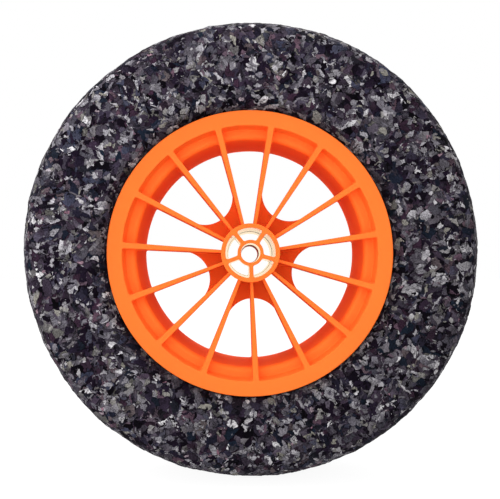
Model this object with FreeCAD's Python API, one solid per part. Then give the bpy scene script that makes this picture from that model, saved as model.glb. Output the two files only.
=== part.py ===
"""Wheelbarrow wheel: a bonded foam-chip tyre on a one-piece spoked plastic rim.

All sizes are in millimetres. The axle runs along Y through the origin, which is the
wheel's centre, and +Z is up. Angles are measured about the axle from +Z towards +X.
Radii are called s, places along the axle y and sideways offsets from a spoke t.
"""

import FreeCAD
import Part
import math
import os

# Tyre: one moulded ring of bonded foam chips
tyre_diameter = 400.0
tyre_width = 90.0
crown_radius = 72.0
shoulder_radius = 18.0
bead_radius = 12.0
seat_clearance = 0.2
flange_gap = 0.6

# Rim shell: a stepped channel that holds the tyre between two flanges
rim_width = 76.0
shell_wall = 4.0
barrel_radius = 97.6
barrel_draft = 0.4
step_width = 8.5
step_depth = 10.0
step_round = 4.0
step_corner_round = 1.2
recess_draft = 1.4
flange_face_width = 12.9
flange_inner_round = 0.8
flange_outer_round = 1.2
flange_back_round = 0.5
channel_round = 1.0

# Spokes: thin drafted blades in groups of three
group_count = 5
spokes_in_group = 3
middle_spoke_angle = 33.44
spoke_width_at_hub = 2.4
spoke_width_at_rim = 5.0
mould_draft_deg = 0.6
edge_break = 0.4
recess_flare = 1.6
barrel_flare = 1.2

# Webs: flat plates at mid width that tie the spokes of a group near the hub
web_thickness = 4.0
web_reach = 40.2

# Hub: a tube round a bored boss, joined by ribs in line with the middle spokes
hub_length = 100.0
hub_radius = 24.2
hub_wall = 3.6
boss_radius = 10.7
bore_radius = 8.0
bore_chamfer = 0.5
hub_rib_width = 3.3
hub_rib_round = 1.6
hub_edge_round = 0.6

# Values that follow from the sizes above
half_tyre = tyre_width / 2
half_rim = rim_width / 2
half_hub = hub_length / 2
step_y = half_rim - step_depth
flange_back_y = half_rim - shell_wall
channel_y = step_y - shell_wall
recess_foot_radius = barrel_radius + step_width
recess_radius = recess_foot_radius + recess_draft
flange_radius = recess_radius + flange_face_width
well_radius = barrel_radius + shell_wall
seat_radius = recess_foot_radius + shell_wall
seat_edge_radius = recess_radius + shell_wall
spoke_pitch = 360.0 / (group_count * spokes_in_group)
group_pitch = 360.0 / group_count
draft = math.tan(math.radians(mould_draft_deg))

AXLE = FreeCAD.Vector(0, 1, 0)
CENTRE = FreeCAD.Vector(0, 0, 0)


def place(s, y, t=0.0):
    """Point at radius s on the +Z side, y along the axle and t to the side."""
    return FreeCAD.Vector(t, y, s)


def turn(shape, angle):
    """Copy of a shape turned about the axle, from +Z towards +X."""
    copy = shape.copy()
    copy.rotate(CENTRE, AXLE, angle)
    return copy


def mirror_across_width(shape):
    """The shape and its mirror image across the wheel's mid plane, as one solid."""
    return shape.fuse(shape.mirror(CENTRE, AXLE)).removeSplitter()


def arc_about(centre, start, end, radius):
    """Short arc from start to end about a centre that is radius away from both."""
    half_way = (start - centre) + (end - centre)
    half_way.normalize()
    return Part.Arc(start, centre + half_way * radius, end).toShape()


def rounded_outline(corners):
    """Closed wire through corners (s, y, radius), each corner rounded by its radius."""
    count = len(corners)
    starts = []
    ends = []
    arcs = []
    for i in range(count):
        corner = place(corners[i][0], corners[i][1])
        radius = corners[i][2]
        before = place(*corners[i - 1][:2]) - corner
        after = place(*corners[(i + 1) % count][:2]) - corner
        if radius == 0:
            starts.append(corner)
            ends.append(corner)
            arcs.append(None)
            continue
        before.normalize()
        after.normalize()
        half_angle = before.getAngle(after) / 2
        cut_back = radius / math.tan(half_angle)
        middle = before + after
        middle.normalize()
        centre = corner + middle * (radius / math.sin(half_angle))
        start = corner + before * cut_back
        end = corner + after * cut_back
        starts.append(start)
        ends.append(end)
        arcs.append(arc_about(centre, start, end, radius))
    edges = []
    for i in range(count):
        if arcs[i] is not None:
            edges.append(arcs[i])
        edges.append(Part.makeLine(ends[i], starts[(i + 1) % count]))
    return Part.Wire(edges)


def with_mirror_corners(half):
    """Corners for both sides of the mid plane, from those on it and on its +Y side."""
    return half + [(s, -y, radius) for s, y, radius in reversed(half) if y > 0]


def revolve(wire, angle=360.0):
    """Slice of a solid of revolution about the axle, an angle wide and centred on +Z."""
    return turn(Part.Face(wire), -angle / 2).revolve(CENTRE, AXLE, angle)


def make_tyre():
    """Foam tyre: crowned tread, round shoulders, flat sides, and a foot in the channel."""
    side_y = flange_back_y - seat_clearance
    well_y = channel_y - seat_clearance
    well_s = well_radius + seat_clearance
    seat_s = seat_radius + seat_clearance
    seat_edge_s = seat_edge_radius + seat_clearance

    crown = place(tyre_diameter / 2 - crown_radius, 0)
    shoulder_y = half_tyre - shoulder_radius
    reach = crown_radius - shoulder_radius
    shoulder = place(crown.z + math.sqrt(reach ** 2 - shoulder_y ** 2), shoulder_y)
    outward = (shoulder - crown).normalize()
    crown_end = crown + outward * crown_radius

    bead_y = half_tyre - bead_radius
    bead = place(flange_radius + flange_gap + bead_radius, bead_y)
    bead_foot = place(bead.z - math.sqrt(bead_radius ** 2 - (side_y - bead_y) ** 2), side_y)

    def mirrored(point):
        return FreeCAD.Vector(point.x, -point.y, point.z)

    side_outer = place(shoulder.z, half_tyre)
    side_inner = place(bead.z, half_tyre)
    foot = [bead_foot, place(seat_edge_s, side_y), place(seat_s, well_y), place(well_s, well_y)]
    edges = [Part.Arc(mirrored(crown_end), place(tyre_diameter / 2, 0), crown_end).toShape()]
    for flip in (False, True):
        run = [arc_about(shoulder, crown_end, side_outer, shoulder_radius),
               Part.makeLine(side_outer, side_inner),
               arc_about(bead, side_inner, bead_foot, bead_radius)]
        for start, end in zip(foot, foot[1:]):
            run.append(Part.makeLine(start, end))
        edges += [edge.mirror(CENTRE, AXLE) for edge in run] if flip else run
    edges.append(Part.makeLine(foot[-1], mirrored(foot[-1])))
    return revolve(Part.Wire(Part.__sortEdges__(edges)))


def make_shell_slice():
    """One spoke pitch of the barrel, steps and flanges, of even wall."""
    half = [
        (barrel_radius - barrel_draft, 0, 0),
        (barrel_radius, step_y, step_round),
        (recess_foot_radius, step_y, step_corner_round),
        (recess_radius, half_rim, flange_inner_round),
        (flange_radius, half_rim, flange_outer_round),
        (flange_radius, flange_back_y, flange_back_round),
        (seat_edge_radius, flange_back_y, 0),
        (seat_radius, channel_y, channel_round),
        (well_radius, channel_y, 0),
    ]
    return revolve(rounded_outline(with_mirror_corners(half)), spoke_pitch)


def flare_points(slope, half_width, circle_radius, flare, inside):
    """Where a flare of a given radius leaves a spoke's side and meets a circle.

    The side is the line t = half_width + slope * s. The flare's centre is one flare
    radius off that line, and that far inside or outside the circle about the axle.
    """
    lean = math.sqrt(1 + slope ** 2)
    offset = half_width + flare * lean
    centre_radius = circle_radius - flare if inside else circle_radius + flare
    root = math.sqrt(centre_radius ** 2 * lean ** 2 - offset ** 2)
    s = (root - slope * offset) / lean ** 2
    t = offset + slope * s
    on_line = (s + flare * slope / lean, t - flare / lean)
    on_circle = (s * circle_radius / centre_radius, t * circle_radius / centre_radius)
    return (s, t), on_line, on_circle


def blade_wire(y, spread, circle_radius, flare, end_s):
    """Outline of a spoke at depth y, spread wider by a draft and flared at its outer end."""
    start_s = hub_radius - hub_wall / 2
    slope = (spoke_width_at_rim - spoke_width_at_hub) / 2 / (recess_radius - hub_radius)
    half_width = spoke_width_at_hub / 2 + spread - slope * hub_radius
    centre, on_line, on_circle = flare_points(slope, half_width, circle_radius, flare, True)
    edges = []
    for side in (1, -1):
        start = place(start_s, y, side * (half_width + slope * start_s))
        bend = place(on_line[0], y, side * on_line[1])
        foot = place(on_circle[0], y, side * on_circle[1])
        end = place(end_s, y, side * on_circle[1])
        middle = place(centre[0], y, side * centre[1])
        run = [Part.makeLine(start, bend), arc_about(middle, bend, foot, flare),
               Part.makeLine(foot, end)]
        if side == 1:
            first_start = start
            edges += run + [Part.makeLine(end, place(end_s, y, -on_circle[1]))]
        else:
            edges += [Part.makeLine(foot, end), run[1], run[0]]
            edges.append(Part.makeLine(start, first_start))
    return Part.Wire(Part.__sortEdges__(edges))


def make_blade():
    """One spoke at full width, with broken front edges and a flare at the recess wall."""
    wall_lean = recess_draft / step_depth
    end_s = recess_radius + shell_wall / 4
    levels = [
        (0, half_rim * draft),
        (half_rim - edge_break, edge_break * draft),
        (half_rim, -edge_break),
    ]
    wires = []
    for y, spread in levels:
        wall_s = recess_radius - wall_lean * (half_rim - y)
        wires.append(blade_wire(y, spread, wall_s, recess_flare, end_s))
    return mirror_across_width(Part.makeLoft(wires, True, True))


def make_blade_foot():
    """Flare of a spoke where it runs into the barrel, below the step."""
    top_y = step_y - step_round / 2
    end_s = barrel_radius + shell_wall / 2
    wires = [
        blade_wire(0, half_rim * draft, barrel_radius - barrel_draft, barrel_flare, end_s),
        blade_wire(top_y, (half_rim - top_y) * draft, barrel_radius, barrel_flare, end_s),
    ]
    return mirror_across_width(Part.makeLoft(wires, True, True))


def make_spoke_room():
    """Space inside the middle of the shell's wall, past which no spoke may reach."""
    half = [
        (0, half_rim, 0),
        (recess_radius + shell_wall / 8, half_rim, 0),
        (recess_radius + shell_wall / 8, step_y - shell_wall / 2, 0),
        (barrel_radius + shell_wall / 2, step_y - shell_wall / 2, 0),
    ]
    return revolve(rounded_outline(with_mirror_corners(half)))


def make_web():
    """Plate between the spokes of one group, with a round scallop for its outer edge.

    The scallop touches the inner sides of the group's outer spokes, and its nearest
    point to the axle lies on the middle spoke. The plate starts inside the hub's tube.
    """
    angle = math.radians(spoke_pitch * (spokes_in_group - 1) / 2)
    side = spoke_width_at_hub / 2 + half_rim * draft
    scallop_centre = (web_reach - side) / (1 - math.sin(angle))
    scallop_radius = scallop_centre - web_reach
    touch = scallop_centre * math.cos(angle)
    ends = [place(touch * math.cos(turn_by), -web_thickness / 2, touch * math.sin(turn_by))
            for turn_by in (angle, -angle)]
    start = place(0, -web_thickness / 2)
    plate = Part.Face(Part.makePolygon([start] + ends + [start]))
    plate = plate.extrude(AXLE * web_thickness)
    scallop = Part.makeCylinder(scallop_radius, 2 * web_thickness,
                                place(scallop_centre, -web_thickness), AXLE)
    core = Part.makeCylinder(hub_radius - hub_wall / 2, 2 * web_thickness,
                             place(0, -web_thickness), AXLE)
    return plate.cut([scallop, core])


def make_hub_slice():
    """One group's slice of the bored and drafted drum that the hub's pockets are cut from."""
    half = [
        (bore_radius, half_hub - bore_chamfer, 0),
        (bore_radius + bore_chamfer, half_hub, 0),
        (hub_radius, half_hub, hub_edge_round),
        (hub_radius + half_hub * draft, 0, 0),
    ]
    return revolve(rounded_outline(with_mirror_corners(half)), group_pitch)


def pocket_wire(y, inset):
    """Outline of the pocket between two hub ribs, shrunk by an inset, at depth y."""
    outer_s = hub_radius - hub_wall - inset
    inner_s = boss_radius + inset
    half_width = hub_rib_width / 2 + inset
    outer = flare_points(0, half_width, outer_s, hub_rib_round, True)
    inner = flare_points(0, half_width, inner_s, hub_rib_round, False)

    def on_rib(point, angle):
        """Point of the rib at +Z carried to a rib at an angle, on the pocket's side."""
        side = 1 if angle == 0 else -1
        spot = place(point[0], y, side * point[1])
        return FreeCAD.Rotation(AXLE, angle).multVec(spot)

    half_turn = math.radians(group_pitch / 2)
    outer_mid = place(outer_s * math.cos(half_turn), y, outer_s * math.sin(half_turn))
    inner_mid = place(inner_s * math.cos(half_turn), y, inner_s * math.sin(half_turn))
    far = group_pitch
    edges = [
        Part.makeLine(on_rib(inner[1], 0), on_rib(outer[1], 0)),
        arc_about(on_rib(outer[0], 0), on_rib(outer[1], 0), on_rib(outer[2], 0), hub_rib_round),
        Part.Arc(on_rib(outer[2], 0), outer_mid, on_rib(outer[2], far)).toShape(),
        arc_about(on_rib(outer[0], far), on_rib(outer[2], far), on_rib(outer[1], far),
                  hub_rib_round),
        Part.makeLine(on_rib(outer[1], far), on_rib(inner[1], far)),
        arc_about(on_rib(inner[0], far), on_rib(inner[1], far), on_rib(inner[2], far),
                  hub_rib_round),
        Part.Arc(on_rib(inner[2], far), inner_mid, on_rib(inner[2], 0)).toShape(),
        arc_about(on_rib(inner[0], 0), on_rib(inner[2], 0), on_rib(inner[1], 0), hub_rib_round),
    ]
    return Part.Wire(edges)


def make_pocket():
    """Cutter for one pocket through the hub, narrowest at mid width."""
    wires = [
        pocket_wire(0, half_hub * draft),
        pocket_wire(half_hub - hub_edge_round, hub_edge_round * draft),
        pocket_wire(half_hub, -hub_edge_round / 2),
    ]
    return mirror_across_width(Part.makeLoft(wires, True, True))


def make_spoke_sector():
    """A slice of the shell with its own spoke, one spoke pitch wide."""
    blade = make_blade().fuse(make_blade_foot()).common(make_spoke_room())
    return make_shell_slice().fuse(blade)


def make_group():
    """The middle spoke of a group at +Z, its neighbours, their web and the hub's slice."""
    sector = make_spoke_sector()
    pieces = [make_web(), make_hub_slice()]
    for step in range(spokes_in_group):
        pieces.append(turn(sector, (step - (spokes_in_group - 1) / 2) * spoke_pitch))
    pocket = make_pocket()
    return pieces[0].multiFuse(pieces[1:]).cut([pocket, turn(pocket, -group_pitch)])


def make_rim():
    """Whole plastic wheel body: shell, spokes, webs and hub fused into one moulding."""
    group = make_group()
    groups = [turn(group, middle_spoke_angle + count * group_pitch)
              for count in range(group_count)]
    return groups[0].multiFuse(groups[1:]).removeSplitter()


def one_solid(shape, name):
    """The single solid of a shape, with its volume in litres printed."""
    solids = shape.Solids
    if len(solids) != 1 or not shape.isValid():
        raise ValueError(f"{name} has {len(solids)} solids, valid: {shape.isValid()}")
    print(f"{name}: {solids[0].Volume / 1e6:.3f} litres")
    return solids[0]


def main():
    os.makedirs("parts", exist_ok=True)
    for name, make in (("tyre", make_tyre), ("rim", make_rim)):
        one_solid(make(), name).exportStep(f"parts/{name}.step")


main()
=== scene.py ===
"""Barrow wheel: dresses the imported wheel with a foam-chip tyre and a moulded plastic rim."""

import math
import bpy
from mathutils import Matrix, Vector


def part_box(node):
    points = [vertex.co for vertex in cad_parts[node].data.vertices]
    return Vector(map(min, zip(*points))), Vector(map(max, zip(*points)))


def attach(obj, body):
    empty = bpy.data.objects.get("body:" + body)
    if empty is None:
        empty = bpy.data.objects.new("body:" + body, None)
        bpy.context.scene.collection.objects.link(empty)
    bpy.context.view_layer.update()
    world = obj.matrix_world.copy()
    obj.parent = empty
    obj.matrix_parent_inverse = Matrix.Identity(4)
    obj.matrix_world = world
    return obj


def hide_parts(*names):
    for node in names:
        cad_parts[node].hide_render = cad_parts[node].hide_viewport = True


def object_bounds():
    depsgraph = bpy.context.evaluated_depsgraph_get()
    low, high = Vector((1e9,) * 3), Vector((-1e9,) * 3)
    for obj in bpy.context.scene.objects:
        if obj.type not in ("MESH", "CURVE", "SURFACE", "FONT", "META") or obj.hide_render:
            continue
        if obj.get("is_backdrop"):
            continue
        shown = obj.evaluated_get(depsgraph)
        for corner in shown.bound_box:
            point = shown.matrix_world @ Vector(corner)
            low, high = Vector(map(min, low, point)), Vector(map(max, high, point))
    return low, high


bl_info = {
    "name": "Barrow wheel",
    "version": (1, 0, 0),
    "blender": (4, 5, 0),
    "location": "3D View > Sidebar > Barrow wheel",
    "description": "Foam-chip tyre, orange plastic rim, and the studio they stand in",
    "category": "Object",
}

import bpy
import numpy as np
from mathutils import Vector

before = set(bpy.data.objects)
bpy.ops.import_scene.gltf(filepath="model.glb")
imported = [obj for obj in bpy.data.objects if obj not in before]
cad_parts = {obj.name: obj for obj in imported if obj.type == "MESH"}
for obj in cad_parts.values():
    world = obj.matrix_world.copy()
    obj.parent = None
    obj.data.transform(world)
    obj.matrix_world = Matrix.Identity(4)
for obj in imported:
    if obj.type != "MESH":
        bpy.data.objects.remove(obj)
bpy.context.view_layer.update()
tyre_low, tyre_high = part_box("tyre")
MM = 0.001


# Sizes and finishes that a user would change


class TyreSizes(bpy.types.PropertyGroup):
    """Form of the foam tyre, in metres."""

    diameter: bpy.props.FloatProperty(
        name="Diameter", description="Across the tread", unit="LENGTH",
        default=tyre_high[2] - tyre_low[2])
    width: bpy.props.FloatProperty(
        name="Width", description="From one side of the tyre to the other", unit="LENGTH",
        default=tyre_high[1] - tyre_low[1])
    crown_radius: bpy.props.FloatProperty(
        name="Crown radius", description="Radius of the tread across the tyre",
        unit="LENGTH", default=72 * MM)
    shoulder_radius: bpy.props.FloatProperty(
        name="Shoulder radius", description="Radius between tread and side",
        unit="LENGTH", default=18 * MM)
    bead_radius: bpy.props.FloatProperty(
        name="Bead radius", description="Radius of the side's inner edge, beside the flange",
        unit="LENGTH", default=12 * MM)
    bead_foot: bpy.props.FloatProperty(
        name="Bead foot", description="Radius about the axle at which the bead round ends",
        unit="LENGTH", default=121 * MM)
    seat_edge: bpy.props.FloatProperty(
        name="Seat edge", description="Radius of the tyre's seat beside the flange",
        unit="LENGTH", default=111.7 * MM)
    seat: bpy.props.FloatProperty(
        name="Seat", description="Radius of the tyre's seat at the step in the rim",
        unit="LENGTH", default=110.3 * MM)
    well: bpy.props.FloatProperty(
        name="Well", description="Radius of the tyre's foot in the rim's channel",
        unit="LENGTH", default=101.8 * MM)
    seat_half_width: bpy.props.FloatProperty(
        name="Half seat width", description="From mid width to the flange's back",
        unit="LENGTH", default=33.8 * MM)
    well_half_width: bpy.props.FloatProperty(
        name="Half well width", description="From mid width to the channel's side",
        unit="LENGTH", default=23.8 * MM)
    run_out: bpy.props.FloatVectorProperty(
        name="Run-out", description="How far the tread stands off centre", size=3,
        subtype="TRANSLATION", default=(1.5 * MM, 0, 3.7 * MM))
    waviness: bpy.props.FloatProperty(
        name="Waviness", description="Height of the tread's long waves", unit="LENGTH",
        default=0.3 * MM)
    facet_height: bpy.props.FloatProperty(
        name="Facet height", description="How far pressed chips stand over or under the form",
        unit="LENGTH", default=0.5 * MM)
    nick_depth: bpy.props.FloatProperty(
        name="Nick depth", description="Depth of the places where a chip has come out",
        unit="LENGTH", default=2 * MM)


class ChipFinish(bpy.types.PropertyGroup):
    """Colours and sizes of the bonded foam chips."""

    chip_size: bpy.props.FloatProperty(
        name="Chip size", description="Typical width of a chip", unit="LENGTH",
        default=6.7 * MM)
    brightness: bpy.props.FloatProperty(
        name="Brightness", description="Scales all the chips' colours", default=0.57,
        min=0, max=2)
    light_share: bpy.props.FloatProperty(
        name="Light chips", description="Share of pale grey chips", subtype="FACTOR",
        default=0.17, min=0, max=1)
    grey_share: bpy.props.FloatProperty(
        name="Grey chips", description="Share of mid grey chips", subtype="FACTOR",
        default=0.46, min=0, max=1)
    dark_share: bpy.props.FloatProperty(
        name="Dark chips", description="Share of dark chips that lie over others",
        subtype="FACTOR", default=0.2, min=0, max=1)
    crumb_share: bpy.props.FloatProperty(
        name="Crumbs", description="Share of small crumbs", subtype="FACTOR",
        default=0.1, min=0, max=1)
    sliver_share: bpy.props.FloatProperty(
        name="Slivers", description="Share of thin slivers", subtype="FACTOR",
        default=0.1, min=0, max=1)
    bend: bpy.props.FloatProperty(
        name="Bend", description="How far a chip's sides curve, as a share of its width",
        default=0.45, min=0, max=2)
    tear: bpy.props.FloatProperty(
        name="Tear", description="Depth of torn corners, as a share of a chip's width",
        default=0.3, min=0, max=2)
    patchiness: bpy.props.FloatProperty(
        name="Patchiness", description="How much the shares of chips vary from place to place",
        default=3.0, min=0, max=6)
    # Painted light: how much paler the chips grow per metre towards the upper left, and darker
    # towards the lower right
    painted_light_slope: bpy.props.FloatVectorProperty(
        name="Uneven mix", description="How much paler the mix grows per metre each way",
        size=3, default=(-1.0, 0.0, 0.95))
    # Painted shade: darkens the chips beside the flange, where the flange shades the tyre's
    # bead
    painted_bead_shade: bpy.props.FloatProperty(
        name="Bead shade", description="How much darker the chips are beside the flange",
        subtype="FACTOR", default=0.34, min=0, max=1)
    relief: bpy.props.FloatProperty(
        name="Relief", description="Height of the chips' edges and tilt", unit="LENGTH",
        default=0.35 * MM)


class PlasticFinish(bpy.types.PropertyGroup):
    """Look of the moulded plastic."""

    colour: bpy.props.FloatVectorProperty(
        name="Colour", description="Colour of the plastic", subtype="COLOR", size=3,
        default=(0.99, 0.168, 0.016), min=0, max=1)
    roughness: bpy.props.FloatProperty(
        name="Roughness", description="Dullness of the satin sheen", subtype="FACTOR",
        default=0.78, min=0, max=1)
    hub_roughness: bpy.props.FloatProperty(
        name="Hub roughness", description="Dullness of the walls inside the hub",
        subtype="FACTOR", default=0.09, min=0, max=1)
    grain_size: bpy.props.FloatProperty(
        name="Grain size", description="Width of the mould's fine texture", unit="LENGTH",
        default=0.5 * MM)
    # Painted shade: half width of the dark band round the hub's inner walls at mid width
    shade_band_half_width: bpy.props.FloatProperty(
        name="Parting line", description="Half width of the mould line inside the hub",
        unit="LENGTH", default=4.5 * MM)
    show_through: bpy.props.FloatProperty(
        name="Show-through", description="How much light passes into the plastic",
        subtype="FACTOR", default=0.2, min=0, max=1)


class StudioSetting(bpy.types.PropertyGroup):
    """Camera, lights and floor."""

    camera_place: bpy.props.FloatVectorProperty(
        name="Camera", description="Where the camera stands", subtype="TRANSLATION",
        size=3, default=(-6.7 * MM, -509 * MM, -7.8 * MM))
    camera_aim: bpy.props.FloatVectorProperty(
        name="Aim", description="Direction in which the camera looks", subtype="XYZ",
        size=3, default=(0.0135, 1.0, 0.0069))
    framing: bpy.props.FloatProperty(
        name="Framing", description="Upward shift of the picture, as a share of its width",
        default=0.018)
    lens: bpy.props.FloatProperty(
        name="Lens", description="Focal length for a 36 mm wide film", default=40.46)
    key_power: bpy.props.FloatProperty(
        name="Key light", description="Power of the light at the upper left",
        unit="POWER", default=4)
    front_power: bpy.props.FloatProperty(
        name="Front light", description="Power of the large light round the camera",
        unit="POWER", default=7)
    back_power: bpy.props.FloatProperty(
        name="Back light", description="Power of the high light behind the wheel",
        unit="POWER", default=11)
    surround: bpy.props.FloatProperty(
        name="Surround", description="Brightness of the white room", default=1.0)


# Shapes

# Fineness of the tyre's mesh: stations round the axle, stations along the section where
# it shows and where the rim hides it, and points on each of the section's large arcs
AROUND = 740
SHOWN_STATIONS = 112
HIDDEN_STATIONS = 18
ARC_POINTS = 200
# Pressed chips: width, share of the facet height, seed, and shift of the pattern
FACET_LAYERS = ((7 * MM, 1.0, 11, 0.0), (4 * MM, 0.6, 47, 0.5))
# How much of a facet's height is its own, how much comes from its tilt, and how far all
# are sunk so that the tread keeps its size
OWN_RISE, TILT_RISE, FACET_SINK = 0.55, 0.9, 0.35
# Long waves: how many go round, share of the waviness, and angle of a crest
WAVES = ((3, 0.6, 0.4), (4, 1.0, 2.1), (6, 0.5, 4.0), (13, 0.35, 1.0), (16, 0.45, 5.2),
         (30, 0.4, 3.1))
# Nicks: how many, share of the nick depth (below 0 a chip stands proud), spread in
# millimetres, and how steep their sides are
NICK_COUNT = 150
NICK_DEPTHS = (-0.55, 1)
NICK_SPREADS = (1.6, 3.2)
NICK_STEEPNESS = 1.5
# Above the bead's foot: where the chips' relief and where the run-out fade in
RELIEF_FADE = (-1 * MM, 5 * MM)
RUN_OUT_FADE = (2 * MM, 30 * MM)


def grid_mesh(name, points):
    """Mesh object of a grid that closes on itself both ways.

    points[i, j] is station i along the first way and j along the second. Each face
    joins stations i and i + 1 with j and j + 1, counted round, so that the faces look
    outwards where the second way runs anticlockwise as seen along the first.
    """
    rows, columns = points.shape[:2]
    index = np.arange(rows * columns).reshape(rows, columns)
    next_row = np.roll(index, -1, axis=0)
    next_column = np.roll(index, -1, axis=1)
    both = np.roll(next_row, -1, axis=1)
    corners = np.stack([index, next_row, both, next_column], axis=-1).reshape(-1)
    mesh = bpy.data.meshes.new(name)
    mesh.vertices.add(rows * columns)
    mesh.vertices.foreach_set("co", points.reshape(-1).astype(np.float32))
    mesh.loops.add(len(corners))
    mesh.loops.foreach_set("vertex_index", corners.astype(np.int32))
    mesh.polygons.add(rows * columns)
    starts = np.arange(0, len(corners), 4, dtype=np.int32)
    mesh.polygons.foreach_set("loop_start", starts)
    mesh.polygons.foreach_set("use_smooth", np.ones(rows * columns, dtype=bool))
    mesh.update(calc_edges=True)
    mesh.validate()
    piece = bpy.data.objects.new(name, mesh)
    bpy.context.scene.collection.objects.link(piece)
    return piece


def arc(centre, start, end, count):
    """Points on the short arc about a centre: centre + radius * (cos a, sin a)."""
    first = math.atan2(start[1] - centre[1], start[0] - centre[0])
    last = math.atan2(end[1] - centre[1], end[0] - centre[0])
    turn = (last - first + math.pi) % (2 * math.pi) - math.pi
    angle = first + turn * np.linspace(0, 1, count)
    radius = math.dist(centre, start)
    return np.stack([centre[0] + radius * np.cos(angle),
                     centre[1] + radius * np.sin(angle)], axis=1)


def tyre_section(sizes):
    """Closed outline (radius about the axle, place along it) of the tyre's section.

    The outline runs from the crown's top over the shoulder, down the flat side, round
    the bead and through the seat, and its mirror image brings it back. Its stations are
    evenly spaced by length, close together on the outside and further apart on the
    seat. The second value is 1 where the outline shows and 0 on the seat.
    """
    top = sizes.diameter / 2
    half = sizes.width / 2
    crown = (top - sizes.crown_radius, 0.0)
    shoulder_y = half - sizes.shoulder_radius
    reach = sizes.crown_radius - sizes.shoulder_radius
    shoulder = (crown[0] + math.sqrt(reach ** 2 - shoulder_y ** 2), shoulder_y)
    lean = math.atan2(shoulder[1], shoulder[0] - crown[0])
    crown_end = (crown[0] + sizes.crown_radius * math.cos(lean),
                 sizes.crown_radius * math.sin(lean))
    bead_y = half - sizes.bead_radius
    bead = (sizes.bead_foot + sizes.bead_radius, bead_y)
    drop = math.sqrt(sizes.bead_radius ** 2 - (sizes.seat_half_width - bead_y) ** 2)
    foot = (bead[0] - drop, sizes.seat_half_width)
    shown = np.concatenate([
        arc(crown, (top, 0.0), crown_end, ARC_POINTS),
        arc(shoulder, crown_end, (shoulder[0], half), ARC_POINTS)[1:],
        arc(bead, (bead[0], half), foot, ARC_POINTS // 2),
    ])
    hidden = np.array([
        foot, (sizes.seat_edge, sizes.seat_half_width), (sizes.seat, sizes.well_half_width),
        (sizes.well, sizes.well_half_width), (sizes.well, 0.0),
    ])

    def even(line, count):
        steps = np.hypot(*np.diff(line, axis=0).T)
        along = np.concatenate([[0], np.cumsum(steps)])
        wanted = np.linspace(0, along[-1], count + 1)
        return np.stack([np.interp(wanted, along, line[:, k]) for k in (0, 1)], axis=1)

    half_shown = even(shown, SHOWN_STATIONS // 2)
    half_hidden = even(hidden, HIDDEN_STATIONS // 2)
    side = np.concatenate([half_shown[:-1], half_hidden])
    shows = np.concatenate([np.ones(len(half_shown) - 1), np.zeros(len(half_hidden))])
    mirror = side[-2:0:-1] * (1, -1)
    return np.concatenate([side, mirror]), np.concatenate([shows, shows[-2:0:-1]])


def scramble(cells, salt):
    """Even random numbers from 0 to 1 for whole-number cell places, by mixing bits."""
    a, b, c = (cells[..., k].astype(np.int64) & 0xFFFFFFFF for k in range(3))
    mixed = (a * 73856093 ^ b * 19349663 ^ c * 83492791 ^ salt * 2654435761) & 0xFFFFFFFF
    for shift, factor in ((16, 0x7FEB352D), (15, 0x846CA68B)):
        mixed = (mixed ^ (mixed >> shift)) * factor & 0xFFFFFFFF
    return ((mixed ^ (mixed >> 16)) & 0xFFFFFF) / float(0x1000000)


def facets(points, size, salt):
    """Height, from -1 to 1, of flat tilted facets that tile space like cracked stone.

    Each point belongs to the nearest of a set of scattered seeds, one in each cube of
    the given size. Its height is its seed's own number, plus a slope that is its own
    for each seed times the distance from the seed.
    """
    spot = points / size
    cell = np.floor(spot).astype(np.int64)
    best = np.full(points.shape[:-1], np.inf)
    height = np.zeros(points.shape[:-1])
    for dx in (-1, 0, 1):
        for dy in (-1, 0, 1):
            for dz in (-1, 0, 1):
                near = cell + (dx, dy, dz)
                seed = near + np.stack([scramble(near, salt + k) for k in range(3)], axis=-1)
                away = spot - seed
                gap = np.sqrt((away ** 2).sum(axis=-1))
                slope = np.stack([scramble(near, salt + 3 + k) for k in range(3)], axis=-1)
                own = 2 * scramble(near, salt + 6) - 1
                rise = OWN_RISE * own + TILT_RISE * (away * (slope - 0.5)).sum(axis=-1)
                closer = gap < best
                best = np.where(closer, gap, best)
                height = np.where(closer, rise, height)
    return height


def smooth_step(value, low, high):
    """0 below low, 1 above high, and 3 t^2 - 2 t^3 between them."""
    t = np.clip((value - low) / (high - low), 0, 1)
    return t * t * (3 - 2 * t)


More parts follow.
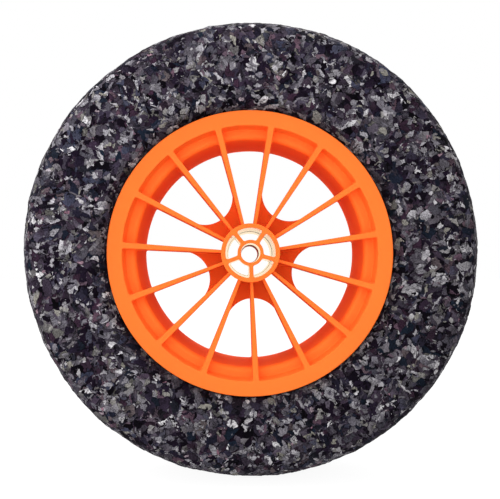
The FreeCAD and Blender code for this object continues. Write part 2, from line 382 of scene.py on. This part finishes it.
def tyre_points(sizes):
    """Grid of the tyre: its section carried round the axle, with chips and nicks.

    A point is (s sin a, y, s cos a) for the section's radius s and place y and an angle
    a from the top. It moves along the section's own normal by the facets' height and a
    sum of long cosine waves round the axle, minus a bell-shaped dent at each nick. The
    tread then stands off centre: points move by the run-out, which fades to nothing at
    the bead.
    """
    section, shows = tyre_section(sizes)
    ahead = np.roll(section, -1, axis=0) - np.roll(section, 1, axis=0)
    ahead /= np.hypot(ahead[:, 0], ahead[:, 1])[:, None]
    normal = np.stack([ahead[:, 1], -ahead[:, 0]], axis=1)
    angle = np.arange(AROUND) * (2 * math.pi / AROUND)
    sin, cos = np.sin(angle)[:, None], np.cos(angle)[:, None]
    s, y = section[:, 0][None, :], section[:, 1][None, :]
    points = np.stack([s * sin, np.broadcast_to(y, (AROUND, len(section))), s * cos], axis=-1)
    outwards = np.stack([normal[:, 0] * sin, np.broadcast_to(normal[:, 1], points.shape[:2]),
                         normal[:, 0] * cos], axis=-1)
    free = smooth_step(s, *(sizes.bead_foot + edge for edge in RELIEF_FADE)) * shows
    rise = sum(share * facets(points + shift, width, seed)
               for width, share, seed, shift in FACET_LAYERS)
    lift = sizes.facet_height * (rise - FACET_SINK)
    for waves, share, crest in WAVES:
        lift = lift + sizes.waviness * share * np.cos(waves * angle - crest)[:, None]

    chance = np.random.default_rng(7)
    where = (chance.integers(0, AROUND, NICK_COUNT),
             chance.integers(0, len(section), NICK_COUNT))
    centres = points[where]
    depth = sizes.nick_depth * chance.uniform(*NICK_DEPTHS, NICK_COUNT)
    spread = chance.uniform(*NICK_SPREADS, NICK_COUNT) * MM
    for centre, deep, wide in zip(centres, depth, spread):
        gap = ((points - centre) ** 2).sum(axis=-1)
        lift = lift - deep * np.exp(-(gap / (2 * wide ** 2)) ** NICK_STEEPNESS)
    points = points + outwards * (lift * free)[..., None]
    fade = smooth_step(s, *(sizes.bead_foot + edge for edge in RUN_OUT_FADE))
    return points + fade[..., None] * np.array(sizes.run_out)


# Materials


def new_material(name):
    """An empty node material with its output and a principled shader."""
    material = bpy.data.materials.new(name)
    material.use_nodes = True
    tree = material.node_tree
    tree.nodes.clear()
    output = tree.nodes.new("ShaderNodeOutputMaterial")
    shader = tree.nodes.new("ShaderNodeBsdfPrincipled")
    tree.links.new(shader.outputs["BSDF"], output.inputs["Surface"])
    return material, tree, shader


def add(tree, kind, inputs=(), **settings):
    """A node of a kind with its settings, and its inputs set or linked by place or name."""
    node = tree.nodes.new("ShaderNode" + kind)
    for key, value in settings.items():
        setattr(node, key, value)
    for key, value in dict(inputs).items():
        if isinstance(value, bpy.types.NodeSocket):
            tree.links.new(value, node.inputs[key])
        else:
            node.inputs[key].default_value = value
    return node


def maths(tree, operation, a, b=0.0, c=0.0):
    """One sum on numbers or sockets."""
    return add(tree, "Math", {0: a, 1: b, 2: c}, operation=operation).outputs[0]


def vector_maths(tree, operation, a, b=(0, 0, 0)):
    """One sum on vectors."""
    node = add(tree, "VectorMath", {0: a, 1: b}, operation=operation)
    return node.outputs["Value" if operation in ("DOT_PRODUCT", "LENGTH") else "Vector"]


def scaled(tree, vector, factor):
    """A vector or colour times a number."""
    return add(tree, "VectorMath", {0: vector, "Scale": factor}, operation="SCALE").outputs[0]


def step_between(tree, value, low, high):
    """Smooth step from 0 at low to 1 at high."""
    node = add(tree, "MapRange", {"Value": value, "From Min": low, "From Max": high},
               interpolation_type="SMOOTHSTEP")
    return node.outputs["Result"]


def mixed(tree, factor, below, above):
    """Two numbers mixed by a factor."""
    return add(tree, "Mix", {0: factor, 2: below, 3: above}, data_type="FLOAT").outputs[0]


def blend_colours(tree, factor, below, above):
    """Two colours mixed by a factor."""
    return add(tree, "Mix", {0: factor, 6: below, 7: above}, data_type="RGBA").outputs[2]


def centred_noise(tree, place, scale, detail, roughness=0.5):
    """Smooth noise from about -0.5 to 0.5."""
    noise = add(tree, "TexNoise", {"Vector": place, "Scale": scale, "Detail": detail,
                                   "Roughness": roughness})
    return maths(tree, "SUBTRACT", noise.outputs["Fac"], 0.5)


def axle_distance(tree, place):
    """Distance of a place from the axle."""
    return vector_maths(tree, "LENGTH", vector_maths(tree, "MULTIPLY", place, (1, 0, 1)))


def screen_colour(red, green, blue, factor=1.0):
    """Linear colour of a colour as a screen counts it, from 0 to 255, times a factor."""
    def linear(value):
        value /= 255
        return value / 12.92 if value <= 0.04045 else ((value + 0.055) / 1.055) ** 2.4
    return tuple(linear(value) * factor for value in (red, green, blue)) + (1.0,)


def colour_steps(tree, value, steps, factor):
    """Colour picked along a row of (place, red, green, blue) steps."""
    node = add(tree, "ValToRGB", {"Fac": value})
    row = node.color_ramp.elements
    while len(row) < len(steps):
        row.new(0.5)
    for element, (place, *_) in zip(row, steps):
        element.position = place
    for element, (_, *colour) in zip(row, steps):
        element.color = screen_colour(*colour, factor)
    return node.outputs["Color"]


MIDDLE = (0.5, 0.5, 0.5)  # mean of random colours


def chip_layer(tree, place, size, squeeze, turn):
    """Chips of one layer: three random numbers, the way to the edge, and the tilt.

    The chips are cells about scattered seeds. The place is turned, then stretched by
    the squeeze, which makes the cells narrow along its larger numbers.
    """
    turned = add(tree, "VectorRotate", {"Vector": place, "Rotation": turn},
                 rotation_type="EULER_XYZ").outputs[0]
    spot = vector_maths(tree, "MULTIPLY", turned, squeeze)
    cells = add(tree, "TexVoronoi", {"Vector": spot, "Scale": 1 / size})
    rim = add(tree, "TexVoronoi", {"Vector": spot, "Scale": 1 / size},
              feature="DISTANCE_TO_EDGE")
    parts = add(tree, "SeparateColor", {"Color": cells.outputs["Color"]})
    edge = maths(tree, "MULTIPLY", rim.outputs["Distance"], size)
    away = vector_maths(tree, "SUBTRACT", spot, cells.outputs["Position"])
    lean = vector_maths(tree, "SUBTRACT", cells.outputs["Color"], MIDDLE)
    tilt = vector_maths(tree, "DOT_PRODUCT", away, lean)
    return parts.outputs[0], parts.outputs[1], parts.outputs[2], edge, tilt


# Colours of the chips as steps: place along the row, then red, green and blue from 0 to 255
DARK_CHIPS = ((0.0, 8, 5, 12), (0.2, 24, 15, 30), (0.38, 38, 29, 46), (0.5, 24, 34, 48),
              (0.6, 36, 34, 42), (0.72, 58, 38, 54), (0.84, 44, 42, 58), (1.0, 70, 58, 72))
GREY_CHIPS = ((0.0, 51, 42, 56), (0.2, 69, 62, 73), (0.36, 82, 79, 88), (0.48, 61, 64, 84),
              (0.58, 89, 80, 94), (0.68, 97, 93, 101), (0.78, 98, 74, 89), (0.88, 100, 98, 94),
              (1.0, 123, 117, 126))
LIGHT_CHIPS = ((0.0, 110, 106, 116), (0.35, 134, 130, 138), (0.5, 150, 146, 136),
               (0.65, 156, 153, 160), (0.85, 186, 182, 188), (1.0, 228, 225, 228))
CRUMBS = ((0.0, 8, 6, 12), (0.35, 30, 24, 36), (0.6, 80, 74, 86), (0.8, 128, 124, 132),
          (0.92, 188, 184, 190), (1.0, 150, 108, 126))
SLIVERS = ((0.0, 20, 16, 26), (0.3, 70, 64, 76), (0.6, 132, 128, 136), (1.0, 200, 196, 200))
# Layers over the ground, from the lowest up: width as a share of the chip size, which
# setting gives the layer's share and how much of it, colours, squeeze, and turn
CHIP_LAYERS = (
    (1.75, "grey_share", 0.8, GREY_CHIPS, (1.0, 1.9, 1.3), (0.4, 1.1, 0.2)),
    (1.35, "grey_share", 0.7, GREY_CHIPS, (1.6, 1.0, 1.3), (1.3, 0.3, 2.2)),
    (1.5, "dark_share", 1.0, DARK_CHIPS, (1.2, 1.0, 2.0), (2.3, 0.9, 0.7)),
    (1.25, "light_share", 0.7, LIGHT_CHIPS, (1.9, 1.0, 1.25), (0.2, 2.1, 1.6)),
    (0.85, "light_share", 0.65, LIGHT_CHIPS, (1.0, 1.8, 1.1), (0.9, 0.2, 2.9)),
    (0.55, "crumb_share", 1.0, CRUMBS, (1.5, 1.0, 1.0), (1.8, 1.5, 0.4)),
)


# The ground under the layers, and the slivers over them: width, squeeze and turn
GROUND = (2.0, (1.5, 1.0, 1.1), (0.0, 0.0, 0.0))
SLIVER_LAYER = (0.4, (1.0, 0.18, 0.55), (0.5, 0.4, 0.3))
# Shift of the pattern from each layer to the next, in millimetres
LAYER_SHIFT = (31.7, 11.3, 7.9)
# Waves or cells along one chip size: bends, regions that lie one way, patches, gap widths
BEND_WAVES, REGION_CELLS, PATCH_WAVES, GAP_WAVES = 0.8, 0.24, 0.32, 1.4
# Torn corners: cells along one chip size, and share of the tear
TEARS = ((1.0, 1.0), (3.0, 0.3))
# How a region's chips are turned: the axis' third part, and the largest angle
REGION_AXIS, REGION_TURN = 0.4, 12.0
# Width of the gap round a chip, sunk by the bump and darkened with painted shade, as a share
# of the chip size: ground and layers
GROUND_GAP, LAYER_GAP = 0.07, 0.06
# Streaks of torn foam and pores, for each millimetre
STREAKS, PORES = (1.6, 0.3, 0.9), 0.9
# How far streaks, pores, the painted light of each chip's tilt and the painted shade of the
# gaps change the tone, and its least value
STREAK_TONE, PORE_TONE, TILT_LIGHT_TONE, GAP_SHADE_TONE, LEAST_TONE = 3.5, 1.3, 0.8, -0.9, 0.06
# Band above the bead's foot in which the painted shade beside the flange fades in
SHADE_FADE = (10 * MM, 1 * MM)


def chip_material(finish, bead_foot):
    """Bonded foam chips: layers of torn flakes, crumbs and slivers over gaps of painted shade,
    with painted light on tilted chips and towards the upper left, and painted shade by the
    flange.
    """
    material, tree, shader = new_material("bonded_foam_chips")
    size = finish.chip_size / MM
    glow = finish.brightness
    object_place = add(tree, "TexCoord").outputs["Object"]
    spot = scaled(tree, object_place, 1 / MM)

    # Bent and torn outlines
    bend = add(tree, "TexNoise", {"Vector": spot, "Scale": BEND_WAVES / size, "Detail": 1.0})
    bend = scaled(tree, vector_maths(tree, "SUBTRACT", bend.outputs["Color"], MIDDLE),
                  finish.bend * size)
    torn = vector_maths(tree, "ADD", spot, bend)
    for cells, share in TEARS:
        jag = add(tree, "TexVoronoi", {"Vector": spot, "Scale": cells / size})
        jag = vector_maths(tree, "SUBTRACT", jag.outputs["Color"], MIDDLE)
        torn = vector_maths(tree, "ADD", torn, scaled(tree, jag, share * finish.tear * size))

    # Regions that each lie turned their own way
    region = add(tree, "TexVoronoi", {"Vector": torn, "Scale": REGION_CELLS / size})
    region = add(tree, "SeparateColor", {"Color": region.outputs["Color"]})
    axis = add(tree, "CombineXYZ", {0: region.outputs[0], 1: region.outputs[1],
                                    2: REGION_AXIS})
    angle = maths(tree, "MULTIPLY", region.outputs[2], REGION_TURN)
    turned = add(tree, "VectorRotate", {"Vector": torn, "Axis": axis.outputs[0],
                                        "Angle": angle},
                 rotation_type="AXIS_ANGLE").outputs[0]

    # Ground, layers of chips, and slivers
    wide, squeeze, turn = GROUND
    hue, rise, _, edge, slope = chip_layer(tree, turned, wide * size, squeeze, turn)
    colour = colour_steps(tree, hue, DARK_CHIPS, glow)
    gap = step_between(tree, edge, 0.0, GROUND_GAP * size)
    height = maths(tree, "MULTIPLY_ADD", slope, 0.35, maths(tree, "MULTIPLY", rise, 0.8))
    patches = centred_noise(tree, spot, PATCH_WAVES / size, 1.0)
    for count, (wide, setting, part, steps, squeeze, turn) in enumerate(CHIP_LAYERS, 1):
        share = part * getattr(finish, setting)
        moved = vector_maths(tree, "ADD", turned, tuple(step * count for step in LAYER_SHIFT))
        pick, hue, rise, edge, tilt = chip_layer(tree, moved, wide * size, squeeze, turn)
        wanted = maths(tree, "MULTIPLY_ADD", patches, finish.patchiness * share, share)
        cover = maths(tree, "LESS_THAN", pick, wanted)
        colour = blend_colours(tree, cover, colour, colour_steps(tree, hue, steps, glow))
        gap = mixed(tree, cover, gap, step_between(tree, edge, 0.0, LAYER_GAP * size))
        slope = mixed(tree, cover, slope, tilt)
        own_height = maths(tree, "MULTIPLY_ADD", tilt, 0.4,
                           maths(tree, "MULTIPLY_ADD", rise, 0.8, 0.3))
        height = mixed(tree, cover, height, own_height)
    wide, squeeze, turn = SLIVER_LAYER
    pick, hue, *_ = chip_layer(tree, turned, wide * size, squeeze, turn)
    cover = maths(tree, "LESS_THAN", pick, finish.sliver_share)
    colour = blend_colours(tree, cover, colour, colour_steps(tree, hue, SLIVERS, glow))
    height = maths(tree, "MULTIPLY_ADD", cover, 0.4, height)

    # Streaks, pores, and gaps whose width varies, sunk by the bump and darkened with painted
    # shade
    streaks = centred_noise(tree, vector_maths(tree, "MULTIPLY", turned, STREAKS), 1.0, 3.0,
                            0.65)
    pores = centred_noise(tree, spot, PORES, 3.0)
    width = add(tree, "TexNoise", {"Vector": spot, "Scale": GAP_WAVES / size, "Detail": 1.0})
    open_gap = step_between(tree, width.outputs["Fac"], 0.4, 0.6)
    # Painted shade: the gaps between chips are darkened
    gap_dent_and_shade = maths(tree, "MULTIPLY", maths(tree, "SUBTRACT", 1.0, gap), open_gap)
    shade = maths(tree, "MULTIPLY_ADD", streaks, STREAK_TONE, 1.0)
    shade = maths(tree, "MULTIPLY_ADD", pores, PORE_TONE, shade)
    # Painted light: each chip is lighter on one side, by its tilt
    shade = maths(tree, "MULTIPLY_ADD", slope, TILT_LIGHT_TONE / size, shade)
    tone = maths(tree, "MULTIPLY", shade,
                 maths(tree, "MULTIPLY_ADD", gap_dent_and_shade, GAP_SHADE_TONE, 1.0))
    tone = maths(tree, "MAXIMUM", tone, LEAST_TONE)

    # Painted light: the tyre grows paler towards the upper left and darker towards the lower
    # right; and painted shade beside the flange
    painted_light_drift = vector_maths(tree, "DOT_PRODUCT", object_place, tuple(finish.painted_light_slope))
    tone = maths(tree, "MULTIPLY", tone, maths(tree, "ADD", painted_light_drift, 1.0))
    # Painted shade beside the flange: the chips grow darker towards the bead's foot
    flange_shade_mask = step_between(tree, axle_distance(tree, object_place),
                                 *(bead_foot + edge for edge in SHADE_FADE))
    tone = maths(tree, "MULTIPLY", tone,
                 maths(tree, "MULTIPLY_ADD", flange_shade_mask, -finish.painted_bead_shade, 1.0))

    height = maths(tree, "MULTIPLY_ADD", gap_dent_and_shade, -1.2, height)
    height = maths(tree, "MULTIPLY_ADD", streaks, 0.6, height)
    bump = add(tree, "Bump", {"Height": height, "Distance": finish.relief, "Strength": 1.0})
    tree.links.new(scaled(tree, colour, tone), shader.inputs["Base Color"])
    tree.links.new(bump.outputs["Normal"], shader.inputs["Normal"])
    shader.inputs["Roughness"].default_value = 0.8
    shader.inputs["Specular IOR Level"].default_value = 0.04
    return material


# Inside the hub: how far its band of painted shade at mid width and its glossy walls reach
# from the axle, and the radius that parts the bore's wall from the ribs
SHADE_BAND_REACH, GLOSS_REACH, BORE_REACH = 23.5 * MM, 22.5 * MM, 9.0 * MM
# How sharp the band of painted shade is, how much it darkens, and how dull the bore's far half
# is
SHADE_BAND_CORE, SHADE_BAND_TONE, DEEP_BORE = 0.3, -0.75, -0.7
# Tone drift: waves for each metre, and strength
DRIFT_WAVES, DRIFT_TONE = 22.0, 0.1
# How far the grain changes the roughness, and its height
GRAIN_SHEEN, GRAIN_HEIGHT = 0.12, 0.02 * MM


def plastic_material(finish):
    """Satin moulded plastic: slight tone drift, fine mould grain, and a glossy hub.

    A band of painted shade darkens the hub's inner walls at mid width, and the bore is
    duller beyond mid width.
    """
    material, tree, shader = new_material("moulded_orange_plastic")
    object_place = add(tree, "TexCoord").outputs["Object"]
    along = add(tree, "SeparateXYZ", {"Vector": object_place}).outputs[1]
    radius = axle_distance(tree, object_place)
    # Painted shade: a dark band round the hub's inner walls at mid width
    line = step_between(tree, maths(tree, "ABSOLUTE", along),
                        finish.shade_band_half_width, SHADE_BAND_CORE * finish.shade_band_half_width)
    line = maths(tree, "MULTIPLY", line, maths(tree, "LESS_THAN", radius, SHADE_BAND_REACH))
    drift = centred_noise(tree, object_place, DRIFT_WAVES, 2.0)
    tone = maths(tree, "MULTIPLY_ADD", drift, DRIFT_TONE, 1.0)
    tone = maths(tree, "MULTIPLY", tone, maths(tree, "MULTIPLY_ADD", line, SHADE_BAND_TONE, 1.0))

    # Glossy where a wall runs along the axle inside the hub
    facing = add(tree, "SeparateXYZ", {"Vector": add(tree, "NewGeometry").outputs["Normal"]})
    is_wall = maths(tree, "LESS_THAN", maths(tree, "ABSOLUTE", facing.outputs[1]), 0.3)
    gloss = maths(tree, "MULTIPLY", maths(tree, "LESS_THAN", radius, GLOSS_REACH), is_wall)
    deep_bore = maths(tree, "MULTIPLY", maths(tree, "LESS_THAN", radius, BORE_REACH),
                      maths(tree, "GREATER_THAN", along, 0.0))
    gloss = maths(tree, "MULTIPLY", gloss,
                  maths(tree, "MULTIPLY_ADD", deep_bore, DEEP_BORE, 1.0))
    gloss = maths(tree, "MULTIPLY", gloss, maths(tree, "SUBTRACT", 1.0, line))
    grain = add(tree, "TexNoise", {"Vector": object_place, "Scale": 1 / finish.grain_size,
                                   "Detail": 2.0}).outputs["Fac"]
    dull = maths(tree, "MULTIPLY_ADD", gloss, finish.hub_roughness - finish.roughness,
                 finish.roughness - GRAIN_SHEEN / 2)
    sheen = maths(tree, "MULTIPLY_ADD", grain, GRAIN_SHEEN, dull)
    bump = add(tree, "Bump", {"Height": grain, "Distance": GRAIN_HEIGHT,
                              "Strength": maths(tree, "SUBTRACT", 1.0, gloss)})
    tree.links.new(scaled(tree, tuple(finish.colour), tone), shader.inputs["Base Color"])
    tree.links.new(sheen, shader.inputs["Roughness"])
    tree.links.new(bump.outputs["Normal"], shader.inputs["Normal"])
    shader.inputs["Specular IOR Level"].default_value = 0.3
    shader.inputs["Subsurface Weight"].default_value = finish.show_through
    shader.inputs["Subsurface Radius"].default_value = (1.0, 0.2, 0.05)
    shader.inputs["Subsurface Scale"].default_value = 5 * MM
    return material


def floor_material():
    """Evenly bright white floor that glows, so that only a faint shadow shows."""
    material, _, shader = new_material("white_floor")
    shader.inputs["Base Color"].default_value = (0.12, 0.12, 0.12, 1)
    shader.inputs["Roughness"].default_value = 1.0
    shader.inputs["Specular IOR Level"].default_value = 0.0
    shader.inputs["Emission Color"].default_value = (1, 1, 1, 1)
    shader.inputs["Emission Strength"].default_value = 0.93
    return material


# Operators: one for each piece, and one for the stage


class MakeFoamTyre(bpy.types.Operator):
    """Make the tyre of bonded foam chips in place of its plain solid"""

    bl_idname = "barrow_wheel.make_foam_tyre"
    bl_label = "Foam-chip tyre"

    def execute(self, context):
        wheel = context.scene.barrow_wheel
        tyre = grid_mesh("foam_chip_tyre", tyre_points(wheel.tyre))
        tyre.data.materials.append(chip_material(wheel.chips, wheel.tyre.bead_foot))
        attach(tyre, "root")
        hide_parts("tyre")
        return {"FINISHED"}


class FinishPlasticRim(bpy.types.Operator):
    """Give the moulded rim its satin orange plastic"""

    bl_idname = "barrow_wheel.finish_plastic_rim"
    bl_label = "Plastic rim"

    def execute(self, context):
        material = plastic_material(context.scene.barrow_wheel.plastic)
        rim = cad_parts["rim"]
        rim.data.materials.clear()
        rim.data.materials.append(material)
        return {"FINISHED"}


# Lights: name, place and size in metres, and the setting that gives the power
LIGHTS = (
    ("key_light", (-1.0, -0.3, 1.0), 0.8, "key_power"),
    ("front_light", (-0.45, -1.45, 0.35), 1.6, "front_power"),
    ("back_light", (0.3, 1.2, 1.5), 1.4, "back_power"),
)
FLOOR_RADIUS, FLOOR_SIDES = 6, 96
# Room's brightness on the wheel: mean, way in which it grows, least value, and levels on
# the side behind the wheel and on the side behind the camera
ROOM_MEAN, ROOM_WAY, ROOM_LEAST = 0.75, (-0.8, 0.0, 0.6), 0.08
ROOM_REAR, ROOM_FRONT = 1.25, 1.3
# Straight behind the wheel: how much dimmer the room is, and the glow on the hub's walls
REAR_DIM = -0.85
GLOW_COLOUR, GLOW_POWER = (1.0, 0.8, 0.52, 1), 1.2
# Where each of these sets in and is full, as the direction's part along the axle
REAR_FROM, FRONT_FROM = (0.0, 0.3), (-0.1, -0.55)
DIM_FROM, GLOW_FROM = (0.66, 0.86), (0.985, 0.995)
WHITE = (1, 1, 1, 1)


class SetStudio(bpy.types.Operator):
    """Set up the white floor, the soft lights and the camera"""

    bl_idname = "barrow_wheel.set_studio"
    bl_label = "Studio"

    def execute(self, context):
        studio = context.scene.barrow_wheel.studio
        self.make_floor(context)
        self.make_surround(context, studio)
        for name, place, size, setting in LIGHTS:
            self.make_light(context, name, place, size, getattr(studio, setting))
        camera = bpy.data.objects.new("camera", bpy.data.cameras.new("camera"))
        context.scene.collection.objects.link(camera)
        camera.location = studio.camera_place
        camera.rotation_euler = Vector(studio.camera_aim).to_track_quat("-Z", "Y").to_euler()
        camera.data.lens = studio.lens
        camera.data.sensor_width = 36
        camera.data.shift_y = studio.framing
        camera.data.clip_start = 0.01
        context.scene.camera = camera
        return {"FINISHED"}

    def make_floor(self, context):
        """Round flat floor that touches the lowest point of the tyre."""
        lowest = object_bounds()[0][2]
        angle = np.arange(FLOOR_SIDES) * (2 * math.pi / FLOOR_SIDES)
        ring = np.stack([FLOOR_RADIUS * np.cos(angle), FLOOR_RADIUS * np.sin(angle),
                         np.full(FLOOR_SIDES, lowest)], axis=1)
        mesh = bpy.data.meshes.new("floor")
        mesh.from_pydata(ring.tolist(), [], [list(range(FLOOR_SIDES))])
        mesh.materials.append(floor_material())
        floor = bpy.data.objects.new("floor", mesh)
        context.scene.collection.objects.link(floor)
        floor.visible_diffuse = False
        floor.visible_glossy = False
        floor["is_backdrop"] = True

    def make_surround(self, context, studio):
        """White room: pure white to the eye, brighter above than below on the wheel."""
        world = bpy.data.worlds.new("white_room")
        context.scene.world = world
        world.use_nodes = True
        tree = world.node_tree
        tree.nodes.clear()
        direction = add(tree, "TexCoord").outputs["Generated"]
        along = add(tree, "SeparateXYZ", {"Vector": direction}).outputs[1]
        level = maths(tree, "ADD", vector_maths(tree, "DOT_PRODUCT", direction, ROOM_WAY),
                      ROOM_MEAN)
        level = maths(tree, "MAXIMUM", level, ROOM_LEAST)
        level = mixed(tree, step_between(tree, along, *REAR_FROM), level, ROOM_REAR)
        level = mixed(tree, step_between(tree, along, *FRONT_FROM), level, ROOM_FRONT)
        dimmer = maths(tree, "MULTIPLY_ADD", step_between(tree, along, *DIM_FROM),
                       REAR_DIM, 1.0)
        level = maths(tree, "MULTIPLY", maths(tree, "MULTIPLY", level, dimmer),
                      studio.surround)
        glow = maths(tree, "MULTIPLY", GLOW_POWER, step_between(tree, along, *GLOW_FROM))
        room = add(tree, "Background", {"Color": WHITE, "Strength": level})
        warm = add(tree, "Background", {"Color": GLOW_COLOUR, "Strength": glow})
        room = add(tree, "AddShader", {0: room.outputs[0], 1: warm.outputs[0]})
        white = add(tree, "Background", {"Color": WHITE, "Strength": 1.0})
        seen = add(tree, "LightPath").outputs["Is Camera Ray"]
        both = add(tree, "MixShader", {0: seen, 1: room.outputs[0], 2: white.outputs[0]})
        output = tree.nodes.new("ShaderNodeOutputWorld")
        tree.links.new(both.outputs[0], output.inputs["Surface"])
        context.scene.view_settings.view_transform = "Standard"

    def make_light(self, context, name, place, size, power):
        """Square soft light that faces the wheel."""
        data = bpy.data.lights.new(name, "AREA")
        data.size = size
        data.energy = power
        light = bpy.data.objects.new(name, data)
        context.scene.collection.objects.link(light)
        light.location = place
        light.rotation_euler = (-Vector(place)).to_track_quat("-Z", "Y").to_euler()


class BarrowWheelPanel(bpy.types.Panel):
    """Lists the wheel's pieces and their sizes"""

    bl_idname = "VIEW3D_PT_barrow_wheel"
    bl_label = "Barrow wheel"
    bl_space_type = "VIEW_3D"
    bl_region_type = "UI"
    bl_category = "Barrow wheel"

    def draw(self, context):
        wheel = context.scene.barrow_wheel
        for step, groups in (
                (MakeFoamTyre, (wheel.tyre, wheel.chips)),
                (FinishPlasticRim, (wheel.plastic,)),
                (SetStudio, (wheel.studio,))):
            box = self.layout.box()
            box.operator(step.bl_idname)
            for group in groups:
                for key in group.__annotations__:
                    box.prop(group, key)


class WheelSettings(bpy.types.PropertyGroup):
    """All the wheel's settings."""

    tyre: bpy.props.PointerProperty(type=TyreSizes)
    chips: bpy.props.PointerProperty(type=ChipFinish)
    plastic: bpy.props.PointerProperty(type=PlasticFinish)
    studio: bpy.props.PointerProperty(type=StudioSetting)


CLASSES = (TyreSizes, ChipFinish, PlasticFinish, StudioSetting, WheelSettings,
           MakeFoamTyre, FinishPlasticRim, SetStudio, BarrowWheelPanel)


def register():
    for cls in CLASSES:
        bpy.utils.register_class(cls)
    bpy.types.Scene.barrow_wheel = bpy.props.PointerProperty(type=WheelSettings)


def unregister():
    del bpy.types.Scene.barrow_wheel
    for cls in reversed(CLASSES):
        bpy.utils.unregister_class(cls)


def main():
    register()
    bpy.ops.barrow_wheel.make_foam_tyre()
    bpy.ops.barrow_wheel.finish_plastic_rim()
    bpy.ops.barrow_wheel.set_studio()


if __name__ == "__main__":
    main()
